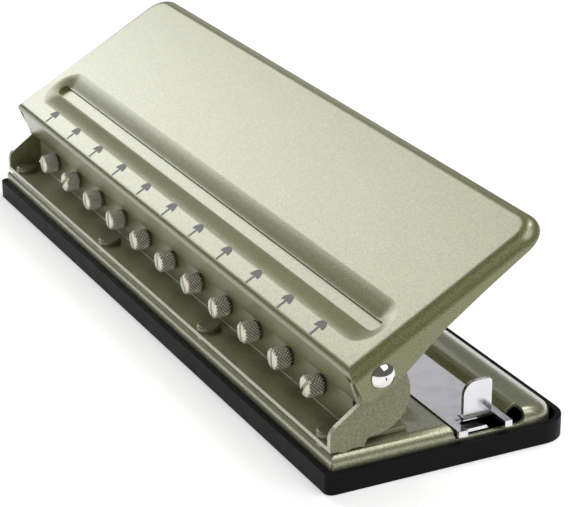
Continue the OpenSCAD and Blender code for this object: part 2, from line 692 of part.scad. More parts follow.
// Plate under the channel that keeps the guide down
module guide_keeper() {
    z1 = channel_z - base_t - gap - 0.1;
    color([0.6, 0.6, 0.6]) difference() {
        translate([pin_x1 - keeper_over, guide_y - keeper_w / 2, z1 - 1.2])
            cube([pin_pitch + 2 * keeper_over, keeper_w, 1.2]);
        for (x = [pin_x1, pin_x2]) translate([x, guide_y, z1 - 2])
            cylinder(r = screw_r, h = 3);
    }
}

// Shoulder rivets from the guide plate through the channel slot to the keeper
module guide_rivets() {
    z1 = channel_z - base_t - gap - 0.1;
    color([0.78, 0.78, 0.79]) for (x = [pin_x1, pin_x2]) translate([x, guide_y, 0]) {
        translate([0, 0, z1 - 2]) cylinder(r = screw_r, h = guide_z + 0.6 - z1 + 2);
        translate([0, 0, z1 - 2]) cylinder(r = screw_r + 0.9, h = 0.8);
        translate([0, 0, z1]) cylinder(r = screw_r + 0.3, h = guide_z0 - z1);
        translate([0, 0, guide_z]) cylinder(r1 = screw_r + 1.2, r2 = screw_r + 0.6, h = 0.6);
    }
}

chip_tray();
base_plate();
side_frame();
frame_rivets();
die_plate();
punch_housing();
housing_screws();
stripper_plate();
paper_stop();
pivot_rivets();
pivot_washers();
guide_spring();
guide_spring_rivet();
lid();
press_bar();
return_springs();
punch_01();
punch_02();
punch_03();
punch_04();
punch_05();
punch_06();
punch_07();
punch_08();
punch_09();
punch_10();
punch_11();
knob_01();
knob_02();
knob_03();
knob_04();
knob_05();
knob_06();
knob_07();
knob_08();
knob_09();
knob_10();
knob_11();
paper_guide();
guide_keeper();
guide_rivets();
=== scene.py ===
"""Desk punch for disc-bound sheets: a raised pressed lid over a row of eleven mushroom punches.
Metres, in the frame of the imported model: X along the punch row, -Y the knob side, Z up."""
import math

import bmesh
import bpy
from mathutils import Matrix, Vector


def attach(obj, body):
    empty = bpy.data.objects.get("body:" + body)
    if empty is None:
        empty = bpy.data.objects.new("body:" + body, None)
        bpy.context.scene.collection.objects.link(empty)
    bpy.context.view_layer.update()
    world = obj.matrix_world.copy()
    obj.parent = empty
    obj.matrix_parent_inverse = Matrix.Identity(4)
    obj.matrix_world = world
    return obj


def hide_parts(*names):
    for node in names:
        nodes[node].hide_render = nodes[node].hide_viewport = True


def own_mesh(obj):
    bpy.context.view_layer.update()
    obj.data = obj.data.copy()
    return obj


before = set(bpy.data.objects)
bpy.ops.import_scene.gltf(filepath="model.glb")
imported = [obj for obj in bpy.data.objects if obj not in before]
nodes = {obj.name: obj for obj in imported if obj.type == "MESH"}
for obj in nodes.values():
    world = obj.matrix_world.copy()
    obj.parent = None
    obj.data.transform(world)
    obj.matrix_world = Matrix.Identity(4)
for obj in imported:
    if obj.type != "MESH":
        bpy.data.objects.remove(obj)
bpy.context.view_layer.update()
MM = 0.001

# Stage. A long lens looks down on the knob side from the guide end, across a plain white
# table. A tall soft box beyond the far end lights the lid; four smaller lights and an even
# grey room do the rest.
scene = bpy.context.scene
scene.view_settings.view_transform = "Standard"
LENS = 139.59
CAMERA_PLACE = (0.74055, -0.3508, 0.35423)
AZIMUTH, ELEVATION, ROLL = 1.11136, 0.386921, -0.00571
TABLE_HALF = 4
TABLE_DROP = 0.0002
TABLE_GLOW = 0.44
ROOM_GREY = (0.125, 0.125, 0.125)


def add_object(name, data):
    """A new object in the scene."""
    piece = bpy.data.objects.new(name, data)
    scene.collection.objects.link(piece)
    return piece


def view_axes(azimuth, elevation, roll):
    """Right, up and backward axes of a camera that looks at the object from that side."""
    level = math.cos(elevation)
    back = Vector((level * math.sin(azimuth), -level * math.cos(azimuth), math.sin(elevation)))
    right = (-back).cross(Vector((0, 0, 1))).normalized()
    up = right.cross(-back)
    c, s = math.cos(roll), math.sin(roll)
    return c * right + s * up, c * up - s * right, back


camera_data = bpy.data.cameras.new("camera")
camera_data.sensor_width = 36
camera_data.lens = LENS
camera = add_object("camera", camera_data)
facing = Matrix(view_axes(AZIMUTH, ELEVATION, ROLL)).transposed().to_4x4()
camera.matrix_world = Matrix.Translation(CAMERA_PLACE) @ facing
scene.camera = camera


def new_material(name):
    """A node material and its shader."""
    material = bpy.data.materials.new(name)
    material.use_nodes = True
    return material, material.node_tree, material.node_tree.nodes["Principled BSDF"]


def add_node(tree, kind, **inputs):
    """A shader node with values set on named sockets; underscores stand for spaces."""
    node = tree.nodes.new(kind)
    for name, value in inputs.items():
        node.inputs[name.replace("_", " ")].default_value = value
    return node


def ramp(tree, source, *stops):
    """A colour ramp fed by a socket; each stop is (position, grey or colour)."""
    node = tree.nodes.new("ShaderNodeValToRGB")
    elements = node.color_ramp.elements
    while len(elements) < len(stops):
        elements.new(0.5)
    for element, (position, colour) in zip(elements, stops):
        element.position = position
        grey = isinstance(colour, (int, float))
        element.color = ((colour,) * 3 if grey else tuple(colour)) + (1,)
    tree.links.new(source, node.inputs["Fac"])
    return node


def math_node(tree, operation, *values, kind="ShaderNodeMath"):
    """A math node; each value is a socket to link or a constant."""
    node = tree.nodes.new(kind)
    node.operation = operation
    for socket, value in zip(node.inputs, values):
        if isinstance(value, bpy.types.NodeSocket):
            tree.links.new(value, socket)
        else:
            socket.default_value = value
    return node


table_mesh = bpy.data.meshes.new("table")
table_corners = [(x * TABLE_HALF, y * TABLE_HALF, 0)
                 for x, y in ((-1, -1), (1, -1), (1, 1), (-1, 1))]
table_mesh.from_pydata(table_corners, [], [(0, 1, 2, 3)])
table = add_object("table", table_mesh)
table.location.z = -TABLE_DROP
material, tree, shader = new_material("table_white")
grain = add_node(tree, "ShaderNodeTexNoise", Scale=900, Detail=3)
tint = ramp(tree, grain.outputs["Fac"], (0.3, (0.93, 0.93, 0.93)), (0.7, (0.97, 0.97, 0.97)))
tree.links.new(tint.outputs["Color"], shader.inputs["Base Color"])
shader.inputs["Roughness"].default_value = 0.8
shader.inputs["Specular IOR Level"].default_value = 0.2
shader.inputs["Emission Strength"].default_value = TABLE_GLOW
rays = add_node(tree, "ShaderNodeLightPath")
seen = rays.outputs["Is Camera Ray"]
for ray in ("Is Glossy Ray", "Is Transmission Ray"):
    seen = math_node(tree, "MAXIMUM", seen, rays.outputs[ray]).outputs[0]
tree.links.new(seen, shader.inputs["Emission Color"])
table_mesh.materials.append(material)

world = bpy.data.worlds.new("room")
world.use_nodes = True
world.node_tree.nodes["Background"].inputs["Color"].default_value = ROOM_GREY + (1,)
scene.world = world


def soft_box(name, place, target, width, height, radiance):
    """A rectangular soft light of an even radiance that faces a point."""
    light = bpy.data.lights.new(name, "AREA")
    light.shape = "RECTANGLE"
    light.size, light.size_y = width, height
    light.energy = radiance * math.pi * width * height
    lamp = add_object(name, light)
    lamp.location = place
    lamp.rotation_euler = (Vector(target) - Vector(place)).to_track_quat("-Z", "Y").to_euler()


soft_box("far_soft_box", (-1.38, -0.22, 0.93), (0, 0, 0.06), width=0.5, height=1.2, radiance=4.1)
soft_box("side_soft_box", (0.75, 0.5, 1.3), (0, 0, 0), width=1.1, height=1.1, radiance=2.7)
soft_box("low_card", (-0.9, 0.46, 0.42), (0, 0, 0), width=0.4, height=0.4, radiance=0.5)
soft_box("knob_card", (0.45, -1.1, 0.34), (0, 0, 0.03), width=0.5, height=0.5, radiance=2.2)
soft_box("back_card", (-0.2, 0.82, 1.32), (0, 0, 0.06), width=0.42, height=0.42, radiance=9)


# Chip tray. Black moulded plastic with a fine satin grain; the base stands inside its rim
# and the tray drops off to be emptied.
TRAY_BLACK = (0.007, 0.007, 0.008)
TRAY_SCUFF = (0.012, 0.012, 0.013)
material, tree, shader = new_material("tray_plastic")
coords = add_node(tree, "ShaderNodeTexCoord")
grain = add_node(tree, "ShaderNodeTexNoise", Scale=2600, Detail=4)
scuffs = add_node(tree, "ShaderNodeTexNoise", Scale=140, Detail=6, Roughness=0.7)
tree.links.new(coords.outputs["Object"], grain.inputs["Vector"])
tree.links.new(coords.outputs["Object"], scuffs.inputs["Vector"])
tint = ramp(tree, scuffs.outputs["Fac"], (0.3, TRAY_BLACK), (0.75, TRAY_SCUFF))
tree.links.new(tint.outputs["Color"], shader.inputs["Base Color"])
rough = ramp(tree, scuffs.outputs["Fac"], (0.3, 0.42), (0.7, 0.56))
tree.links.new(rough.outputs["Color"], shader.inputs["Roughness"])
bump = add_node(tree, "ShaderNodeBump", Strength=0.25, Distance=0.0001)
tree.links.new(grain.outputs["Fac"], bump.inputs["Height"])
tree.links.new(bump.outputs["Normal"], shader.inputs["Normal"])
shader.inputs["Specular IOR Level"].default_value = 0.08


def finish_nodes(material, *names):
    """Gives CAD nodes a material."""
    for name in names:
        nodes[name].data.materials.clear()
        nodes[name].data.materials.append(material)


finish_nodes(material, "chip_tray")


# Base plate. Pressed steel sheet in a metallic olive paint, with the guide channel, an end
# notch and an opening for the chips; its front corners are rolled down, and it sits inside
# the tray's rim.
def flake_group():
    """Metallic paint: bright and dark flakes, slow colour drift and an orange-peel height."""
    group = bpy.data.node_groups.new("paint_flakes", "ShaderNodeTree")
    side = group.interface.new_socket
    side("Colour", in_out="INPUT", socket_type="NodeSocketColor")
    side("Flake", in_out="INPUT", socket_type="NodeSocketFloat")
    side("Roughness", in_out="INPUT", socket_type="NodeSocketFloat")
    side("Colour", in_out="OUTPUT", socket_type="NodeSocketColor")
    side("Roughness", in_out="OUTPUT", socket_type="NodeSocketFloat")
    side("Height", in_out="OUTPUT", socket_type="NodeSocketFloat")
    given = group.nodes.new("NodeGroupInput")
    result = group.nodes.new("NodeGroupOutput")
    coords = add_node(group, "ShaderNodeTexCoord")
    flakes = add_node(group, "ShaderNodeTexNoise", Scale=1900, Detail=2, Roughness=0.6)
    peel = add_node(group, "ShaderNodeTexNoise", Scale=420, Detail=2)
    drift = add_node(group, "ShaderNodeTexNoise", Scale=9, Detail=2)
    for texture in (flakes, peel, drift):
        group.links.new(coords.outputs["Object"], texture.inputs["Vector"])
    centred = math_node(group, "SUBTRACT", flakes.outputs["Fac"], 0.5)
    scaled = math_node(group, "MULTIPLY_ADD", centred.outputs[0], given.outputs["Flake"], 1)
    slow = add_node(group, "ShaderNodeMapRange", From_Min=0.3, From_Max=0.7,
                    To_Min=0.97, To_Max=1.03)
    group.links.new(drift.outputs["Fac"], slow.inputs["Value"])
    both = math_node(group, "MULTIPLY", scaled.outputs[0], slow.outputs["Result"])
    speckled = math_node(group, "SCALE", given.outputs["Colour"], kind="ShaderNodeVectorMath")
    group.links.new(both.outputs[0], speckled.inputs["Scale"])
    group.links.new(speckled.outputs["Vector"], result.inputs["Colour"])
    uneven = math_node(group, "MULTIPLY", given.outputs["Roughness"], slow.outputs["Result"])
    group.links.new(uneven.outputs[0], result.inputs["Roughness"])
    height = add_node(group, "ShaderNodeMix", Factor=0.35)
    group.links.new(peel.outputs["Fac"], height.inputs["A"])
    group.links.new(flakes.outputs["Fac"], height.inputs["B"])
    group.links.new(height.outputs["Result"], result.inputs["Height"])
    return group


paint_flakes = flake_group()


EDGE_ROUND = 0.35
BEVEL_SAMPLES = 6


def metallic_paint(name, colour, edge_highlight_colour, roughness, metallic, gloss, coat=0.3, flake=0.9):
    """Flake paint over pressed sheet; cut and folded edges are softly rounded and painted paler, a
    painted highlight.
    """
    material, tree, shader = new_material(name)
    flakes = tree.nodes.new("ShaderNodeGroup")
    flakes.node_tree = paint_flakes
    flakes.inputs["Colour"].default_value = colour + (1,)
    flakes.inputs["Flake"].default_value = flake
    flakes.inputs["Roughness"].default_value = roughness
    rounded = add_node(tree, "ShaderNodeBevel", Radius=EDGE_ROUND * MM)
    rounded.samples = BEVEL_SAMPLES
    surface = add_node(tree, "ShaderNodeNewGeometry")
    along = math_node(tree, "DOT_PRODUCT", rounded.outputs["Normal"], surface.outputs["Normal"],
                      kind="ShaderNodeVectorMath")
    # Painted highlight: where the rounded normal leaves the flat one, the colour is mixed towards
    # the paler edge colour.
    edge_highlight_share = add_node(tree, "ShaderNodeMapRange", From_Min=0.985, From_Max=0.85, To_Min=0, To_Max=0.7)
    tree.links.new(along.outputs["Value"], edge_highlight_share.inputs["Value"])
    tint = tree.nodes.new("ShaderNodeMix")
    tint.data_type = "RGBA"
    tint.inputs["B"].default_value = edge_highlight_colour + (1,)
    tree.links.new(edge_highlight_share.outputs["Result"], tint.inputs["Factor"])
    tree.links.new(flakes.outputs["Colour"], tint.inputs["A"])
    tree.links.new(tint.outputs["Result"], shader.inputs["Base Color"])
    tree.links.new(flakes.outputs["Roughness"], shader.inputs["Roughness"])
    bump = add_node(tree, "ShaderNodeBump", Strength=0.3, Distance=0.0001)
    tree.links.new(flakes.outputs["Height"], bump.inputs["Height"])
    tree.links.new(rounded.outputs["Normal"], bump.inputs["Normal"])
    tree.links.new(bump.outputs["Normal"], shader.inputs["Normal"])
    shader.inputs["Metallic"].default_value = metallic
    shader.inputs["Coat Weight"].default_value = 1
    shader.inputs["Specular IOR Level"].default_value = gloss
    shader.inputs["Coat Roughness"].default_value = coat
    return material


WELD = 2e-6
NO_LENGTH = 1e-6
FLAT_WEIGHT = 90


def shade_soft(sheet, sharp_angle):
    """Smooth shading, with the edges above an angle in degrees left sharp."""
    limit = math.radians(sharp_angle)
    for face in sheet.faces:
        face.smooth = True
    for edge in sheet.edges:
        edge.smooth = len(edge.link_faces) == 2 and edge.calc_face_angle(0) < limit


def smooth_sheet(node, name, material, sharp_angle=24, shape=None):
    """A copy of a sheet node whose small facets are joined and shaded as one soft curve."""
    mesh = bpy.data.meshes.new(name)
    sheet = bmesh.new()
    sheet.from_mesh(nodes[node].data)
    bmesh.ops.remove_doubles(sheet, verts=sheet.verts, dist=WELD)
    bmesh.ops.dissolve_degenerate(sheet, edges=sheet.edges, dist=NO_LENGTH)
    if shape:
        shape(sheet)
    bmesh.ops.recalc_face_normals(sheet, faces=sheet.faces)
    shade_soft(sheet, sharp_angle)
    sheet.to_mesh(mesh)
    sheet.free()
    mesh.materials.append(material)
    piece = add_object(name, mesh)
    weighted = piece.modifiers.new("flat_faces_lead", "WEIGHTED_NORMAL")
    weighted.keep_sharp = True
    weighted.weight = FLAT_WEIGHT
    return piece


base_paint = metallic_paint("base_paint", (0.375, 0.385, 0.25), (0.8, 0.8, 0.62), roughness=0.42,
                            metallic=0.85, gloss=0.3, coat=0.13, flake=1.8)
BASE_SHARP = 38
BASE_HALF = 158.8
BASE_FRONT = 46.1
BASE_TOP = 13.3
CREST_Y = 30.4
FRONT_Y = 44.1
FRONT_FALL = 3.56
FRONT_ROLL = 3
CORNER_R = 13
EDGE_ROLL = 4
CORNER_ROLL = 3.2
CORNER_FROM = 139
CORNER_STEP = 0.7
CORNER_SLACK = 0.01
CREST_SLACK = 0.2
ROLL_MARGIN = 2
CUT_SNAP = 1e-7
REFINE_PASSES = 9
SLIVER = 0.01
BLEND_FROM, BLEND_TO = 50, 90
UNDERSIDE = 1.2
HIDDEN_BELOW = 7


def corner_place(vertex):
    """Distance in from the plan outline, and degrees round the front corner from end to front."""
    out_x = abs(vertex.co.x) / MM - (BASE_HALF - CORNER_R)
    out_y = vertex.co.y / MM - (BASE_FRONT - CORNER_R)
    if out_y <= 0:
        return CORNER_R - out_x, 0
    if out_x <= 0:
        return CORNER_R - out_y, 90
    return CORNER_R - math.hypot(out_x, out_y), math.degrees(math.atan2(out_y, out_x))


def front_slope(y):
    """Height of the sheet where it falls away from its crest to the front."""
    return BASE_TOP - FRONT_FALL * (max(0, y - CREST_Y) / (FRONT_Y - CREST_Y)) ** 2


def front_height(y):
    """Height of the sheet with the roll along its front edge."""
    if y <= FRONT_Y:
        return front_slope(y)
    first = FRONT_ROLL - (BASE_FRONT - FRONT_Y)
    across = min(FRONT_ROLL, y - BASE_FRONT + FRONT_ROLL)
    drop = math.sqrt(FRONT_ROLL ** 2 - first ** 2) - math.sqrt(FRONT_ROLL ** 2 - across ** 2)
    return front_slope(FRONT_Y) - drop


def on_corner(vertex):
    """Whether a vertex is on the upper face round a front corner."""
    x, y, z = vertex.co / MM
    if abs(x) < CORNER_FROM - CORNER_SLACK or y < CREST_Y - CREST_SLACK or z < HIDDEN_BELOW:
        return False
    inset, _ = corner_place(vertex)
    near_edge = inset < EDGE_ROLL + ROLL_MARGIN
    return inset < UNDERSIDE or (near_edge and z > front_slope(y) - UNDERSIDE)


def roll_front_corners(sheet):
    """Roll the sheet's edge down round its front corners, as the press leaves it."""
    for side in (-1, 1):
        whole = sheet.verts[:] + sheet.edges[:] + sheet.faces[:]
        bmesh.ops.bisect_plane(sheet, geom=whole, dist=CUT_SNAP, plane_no=(1, 0, 0),
                               plane_co=(side * CORNER_FROM * MM, 0, 0))
    for _ in range(REFINE_PASSES):
        long_edges = [edge for edge in sheet.edges if edge.calc_length() > CORNER_STEP * MM
                      and any(on_corner(vertex) for vertex in edge.verts)]
        if not long_edges:
            break
        bmesh.ops.subdivide_edges(sheet, edges=long_edges, cuts=1)
        cut_faces = [face for face in sheet.faces if len(face.verts) > 3]
        bmesh.ops.triangulate(sheet, faces=cut_faces)
    bmesh.ops.remove_doubles(sheet, verts=sheet.verts, dist=SLIVER * MM)
    bmesh.ops.dissolve_degenerate(sheet, edges=sheet.edges, dist=SLIVER * MM)
    for vertex in sheet.verts:
        inset, turn = corner_place(vertex)
        if not on_corner(vertex) or inset >= EDGE_ROLL or turn >= BLEND_TO:
            continue
        y = vertex.co.y / MM
        radius = EDGE_ROLL + (CORNER_ROLL - EDGE_ROLL) * turn / 90
        outward = max(0, radius - max(0, inset))
        rolled = front_slope(y) - radius + math.sqrt(radius ** 2 - outward ** 2)
        share = min(1, max(0, (turn - BLEND_FROM) / (BLEND_TO - BLEND_FROM)))
        share = share * share * (3 - 2 * share)
        vertex.co.z = min(vertex.co.z, (rolled + (front_height(y) - rolled) * share) * MM)


base_sheet = smooth_sheet("base_plate", "base_sheet", base_paint, sharp_angle=BASE_SHARP,
                          shape=roll_front_corners)
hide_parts("base_plate")
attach(base_sheet, "base")


# Side frame and punch housing. Bent steel sheet in the same kind of paint: the floor with an
# upright ear at each end, and the wall that carries the knobs, with a seam bead along its
# foot. Button rivets hold the floor down.
CUT_EDGE_LEAN = 0.3
WALL_FOOT = (-32.8, 15.1)
WALL_HALF = 148.6
SEAM = 0.32
SEAM_STEPS = 10
frame_paint = metallic_paint("frame_paint", (0.245, 0.245, 0.128), (0.8, 0.78, 0.6), roughness=0.4,
                             metallic=0.15, gloss=0.3, flake=2)
finish_nodes(frame_paint, "punch_housing")
frame_sheet = smooth_sheet("side_frame", "frame_sheet", frame_paint)
# Faces cut across the sheet get a paler paint, a painted highlight along the cut edges.
cut_edge_highlight = metallic_paint("frame_cut_edge_highlight", (0.58, 0.57, 0.42), (0.97, 0.95, 0.78), roughness=0.3,
                          metallic=0.3, gloss=0.6)
frame_sheet.data.materials.append(cut_edge_highlight)
for face in frame_sheet.data.polygons:
    face.material_index = int(abs(face.normal.y) > CUT_EDGE_LEAN)
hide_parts("side_frame")
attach(frame_sheet, "base")
# A half-round seam bead along the wall's foot, painted pale with the same painted highlight.
seam_mesh = bpy.data.meshes.new("wall_seam")
seam_round = [(WALL_FOOT[0] - SEAM * math.sin(a), WALL_FOOT[1] + SEAM * (1 - math.cos(a)))
              for a in (math.pi * i / SEAM_STEPS for i in range(SEAM_STEPS + 1))]
seam_verts = [(side * WALL_HALF * MM, y * MM, z * MM) for side in (-1, 1) for y, z in seam_round]
far_end = len(seam_round)
seam_faces = [(i, i + 1, i + far_end + 1, i + far_end) for i in range(SEAM_STEPS)]
seam_faces += [(0, far_end, 2 * far_end - 1, SEAM_STEPS), tuple(range(SEAM_STEPS, -1, -1)),
               tuple(range(far_end, 2 * far_end))]
seam_mesh.from_pydata(seam_verts, [], seam_faces)
seam_mesh.materials.append(cut_edge_highlight)
wall_seam = add_object("wall_seam", seam_mesh)
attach(wall_seam, "base")
rivet_paint = metallic_paint("rivet_paint", (0.14, 0.147, 0.072), (0.35, 0.35, 0.25),
                             roughness=0.34, metallic=0.15, gloss=0.4, flake=1.5)
finish_nodes(rivet_paint, "frame_rivets")


# Die, stripper, paper stop, press bar and punches. Ground tool steel with fine grinding lines
# along the row, held between the frame's floor and the housing. The screws, washers, keeper
# and small rivets round them are zinc-plated.
def ground_steel(name, colour, roughness, stretch=(6, 260, 260)):
    """Bare ground steel with long fine grinding lines along X."""
    material, tree, shader = new_material(name)
    coords = add_node(tree, "ShaderNodeTexCoord")
    mapping = add_node(tree, "ShaderNodeMapping", Scale=stretch)
    lines = add_node(tree, "ShaderNodeTexNoise", Scale=20, Detail=5, Roughness=0.65)
    tree.links.new(coords.outputs["Object"], mapping.inputs["Vector"])
    tree.links.new(mapping.outputs["Vector"], lines.inputs["Vector"])
    dark, light = (tuple(c * f for c in colour) for f in (0.8, 1.15))
    tint = ramp(tree, lines.outputs["Fac"], (0.3, dark), (0.7, light))
    tree.links.new(tint.outputs["Color"], shader.inputs["Base Color"])
    rough = ramp(tree, lines.outputs["Fac"], (0.3, roughness * 0.8), (0.7, roughness * 1.25))
    tree.links.new(rough.outputs["Color"], shader.inputs["Roughness"])
    bump = add_node(tree, "ShaderNodeBump", Strength=0.15, Distance=0.00005)
    tree.links.new(lines.outputs["Fac"], bump.inputs["Height"])
    tree.links.new(bump.outputs["Normal"], shader.inputs["Normal"])
    shader.inputs["Metallic"].default_value = 1
    return material


PUNCHES = range(1, 12)
punch_names = [f"punch_{k:02d}" for k in PUNCHES]
tool_steel = ground_steel("tool_steel", (0.42, 0.42, 0.43), roughness=0.34)
finish_nodes(tool_steel, "die_plate", "stripper_plate", "paper_stop", "press_bar", *punch_names)
zinc_steel = ground_steel("zinc_steel", (0.6, 0.61, 0.62), roughness=0.3, stretch=(40, 40, 40))
finish_nodes(zinc_steel, "housing_screws", "pivot_washers", "guide_keeper", "guide_rivets",
             "guide_spring_rivet")


# Return springs. Round spring-steel wire wound as an open coil with closed ends, one round each
# punch between the housing and the press bar. The guide's leaf spring is of the same steel.
spring_wire = ground_steel("spring_wire", (0.5, 0.5, 0.52), roughness=0.28, stretch=(90, 90, 90))
finish_nodes(spring_wire, "guide_spring")
PUNCH_PITCH = 25.4
MIDDLE_PUNCH = 6
PUNCH_Y = -19.5
COIL_LOW, COIL_HIGH = 29.43, 41.95
COIL_R, WIRE_R = 3.9, 0.4
COIL_TURNS, STEPS_PER_TURN, WIRE_SIDES = 6, 28, 12
CLOSED_TURNS, EASE_TURNS = 0.6, 0.7
CLOSED_RISE, EXTRA_RISE = 0.42, 0.58


def punch_x(k):
    """Place of a punch along the row, in millimetres."""
    return PUNCH_PITCH * (k - MIDDLE_PUNCH)


def coil_heights():
    """Height of the wire's middle at each step: flat end turns, even pitch between them."""
    def ease(turns):
        t = min(max((turns - CLOSED_TURNS) / EASE_TURNS, 0), 1)
        return t * t * (3 - 2 * t)

    rises = [0]
    for step in range(COIL_TURNS * STEPS_PER_TURN):
        turns = (step + 0.5) / STEPS_PER_TURN
        rises.append(rises[-1] + CLOSED_RISE + EXTRA_RISE * ease(turns) * ease(COIL_TURNS - turns))
    span = COIL_HIGH - COIL_LOW - 2 * WIRE_R
    return [COIL_LOW + WIRE_R + span * rise / rises[-1] for rise in rises]


coils = bmesh.new()
for k in PUNCHES:
    rings = []
    for step, height in enumerate(coil_heights()):
        angle = 2 * math.pi * step / STEPS_PER_TURN
        ring = []
        for j in range(WIRE_SIDES):
            round_wire = 2 * math.pi * j / WIRE_SIDES
            r = COIL_R + WIRE_R * math.cos(round_wire)
            place = Vector((punch_x(k) + r * math.cos(angle), PUNCH_Y + r * math.sin(angle),
                            height + WIRE_R * math.sin(round_wire)))
            ring.append(coils.verts.new(place * MM))
        rings.append(ring)
    for lower, upper in zip(rings, rings[1:]):
        for j in range(WIRE_SIDES):
            n = (j + 1) % WIRE_SIDES
            coils.faces.new((lower[j], lower[n], upper[n], upper[j])).smooth = True
    coils.faces.new(rings[0])
    coils.faces.new(rings[-1])
bmesh.ops.recalc_face_normals(coils, faces=coils.faces)
coils_mesh = bpy.data.meshes.new("spring_coils")
coils.to_mesh(coils_mesh)
coils.free()
coils_mesh.materials.append(spring_wire)
spring_coils = add_object("spring_coils", coils_mesh)
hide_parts("return_springs")
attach(spring_coils, "punches")
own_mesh(spring_coils)


# Knobs. Eleven nickel-plated thumb screws in the wall, turned and diamond-knurled, with a
# screwdriver slot across a chamfered face; each holds down the shoulder of one punch.
KNOB_R = 4.1
KNOB_L = 7.1
THREAD_R, THREAD_END = 2, -6.8
POINT_R, POINT_END = 0.8, -8.4
KNOB_SLOT = 1.5
SLOT_DEEP = 1.6
CUTTER_L, CUTTER_H = 12, 4
GRIP_FROM, GRIP_TO = 1.5, KNOB_L - 0.9
KNURL_TEETH = 18
KNURL_DEPTH = 0.42
KNURL_FLAT = 0.36
KNURL_ROW = 1.25
KNOB_FACE_Y = -33.1
KNOB_Z = 24.2
SLOT_TURN = [8, -52, 6, 4, 24, 3, 32, 5, 7, 4, -42]
SAMPLES_PER_TOOTH = 6
KNOB_SHARP = 18


def zigzag(turns):
    """0 in the middle of a tooth, 1 in the groove beside it."""
    return abs(2 * (turns % 1) - 1)


def lathe(profile, around, radius_at):
    """Turned mesh about Z; radius_at(r, z, turn) may vary the radius round the piece."""
    piece = bmesh.new()
    rings = []
    for r, z in profile:
        if r == 0:
            rings.append([piece.verts.new((0, 0, z * MM))])
            continue
        ring = []
        for i in range(around):
            turn = i / around
            reach = radius_at(r, z, turn) * MM
            angle = 2 * math.pi * turn
            ring.append(piece.verts.new((reach * math.cos(angle), reach * math.sin(angle), z * MM)))
        rings.append(ring)
    for lower, upper in zip(rings, rings[1:]):
        for i in range(around):
            j = (i + 1) % around
            if len(lower) == 1:
                piece.faces.new((lower[0], upper[j], upper[i]))
            elif len(upper) == 1:
                piece.faces.new((lower[i], lower[j], upper[0]))
            else:
                piece.faces.new((lower[i], lower[j], upper[j], upper[i]))
    bmesh.ops.recalc_face_normals(piece, faces=piece.faces)
    return piece


def knurl_radius(r, z, turn):
    """Diamond teeth on the grip, run out to plain turning at both ends."""
    if not GRIP_FROM <= z <= GRIP_TO or r < KNOB_R - 0.01:
        return r
    teeth = KNURL_TEETH * turn
    rise = z / KNURL_ROW
    groove = max(zigzag(teeth + rise), zigzag(teeth - rise))
    return r - KNURL_DEPTH * max(0, groove - KNURL_FLAT) / (1 - KNURL_FLAT)


grip_length = GRIP_TO - GRIP_FROM
grip_rows = int(grip_length / KNURL_ROW * SAMPLES_PER_TOOTH)
knob_profile = [(0, POINT_END), (POINT_R, POINT_END), (POINT_R, THREAD_END), (THREAD_R, THREAD_END),
                (THREAD_R, 0), (KNOB_R - 1.1, 0), (KNOB_R - 0.7, 0.12), (KNOB_R - 0.35, 0.5)]
knob_profile += [(KNOB_R, GRIP_FROM + grip_length * i / grip_rows) for i in range(grip_rows + 1)]
knob_profile += [(KNOB_R - 0.35, KNOB_L - 0.45), (KNOB_R - 0.6, KNOB_L - 0.2),
                 (KNOB_R - 1.2, KNOB_L), (0, KNOB_L + 0.1)]
blank = lathe(knob_profile, KNURL_TEETH * SAMPLES_PER_TOOTH, knurl_radius)
blank_mesh = bpy.data.meshes.new("knob_blank")
blank.to_mesh(blank_mesh)
blank.free()
blank_piece = add_object("knob_blank", blank_mesh)
cutter = bmesh.new()
cutter_place = Matrix.Translation((0, 0, (KNOB_L - SLOT_DEEP + CUTTER_H / 2) * MM))
cutter_size = Matrix.Diagonal((KNOB_SLOT * MM, CUTTER_L * MM, CUTTER_H * MM, 1))
bmesh.ops.create_cube(cutter, size=1, matrix=cutter_place @ cutter_size)
cutter_mesh = bpy.data.meshes.new("slot_cutter")
cutter.to_mesh(cutter_mesh)
cutter.free()
cutter_piece = add_object("slot_cutter", cutter_mesh)
sawn = blank_piece.modifiers.new("slot", "BOOLEAN")
sawn.object = cutter_piece
sawn.solver = "EXACT"
bpy.context.view_layer.update()
sawn_blank = blank_piece.evaluated_get(bpy.context.evaluated_depsgraph_get())
knob_mesh = bpy.data.meshes.new_from_object(sawn_blank)
knob_mesh.name = "knurled_screw"
for piece in (blank_piece, cutter_piece):
    bpy.data.objects.remove(piece)
turned = bmesh.new()
turned.from_mesh(knob_mesh)
shade_soft(turned, KNOB_SHARP)
turned.to_mesh(knob_mesh)
turned.free()


def bright_plate(name, colour, roughness, edge=0):
    """Polished plating with faint clouding; with an edge, its corners are softly broken."""
    material, tree, shader = new_material(name)
    coords = add_node(tree, "ShaderNodeTexCoord")
    cloud = add_node(tree, "ShaderNodeTexNoise", Scale=160, Detail=4, Roughness=0.6)
    tree.links.new(coords.outputs["Object"], cloud.inputs["Vector"])
    dark, light = (tuple(c * f for c in colour) for f in (0.94, 1.03))
    tint = ramp(tree, cloud.outputs["Fac"], (0.3, dark), (0.7, light))
    tree.links.new(tint.outputs["Color"], shader.inputs["Base Color"])
    rough = ramp(tree, cloud.outputs["Fac"], (0.35, roughness * 0.7), (0.75, roughness * 1.5))
    tree.links.new(rough.outputs["Color"], shader.inputs["Roughness"])
    shader.inputs["Metallic"].default_value = 1
    if edge:
        rounded = add_node(tree, "ShaderNodeBevel", Radius=edge)
        rounded.samples = BEVEL_SAMPLES
        tree.links.new(rounded.outputs["Normal"], shader.inputs["Normal"])
    return material


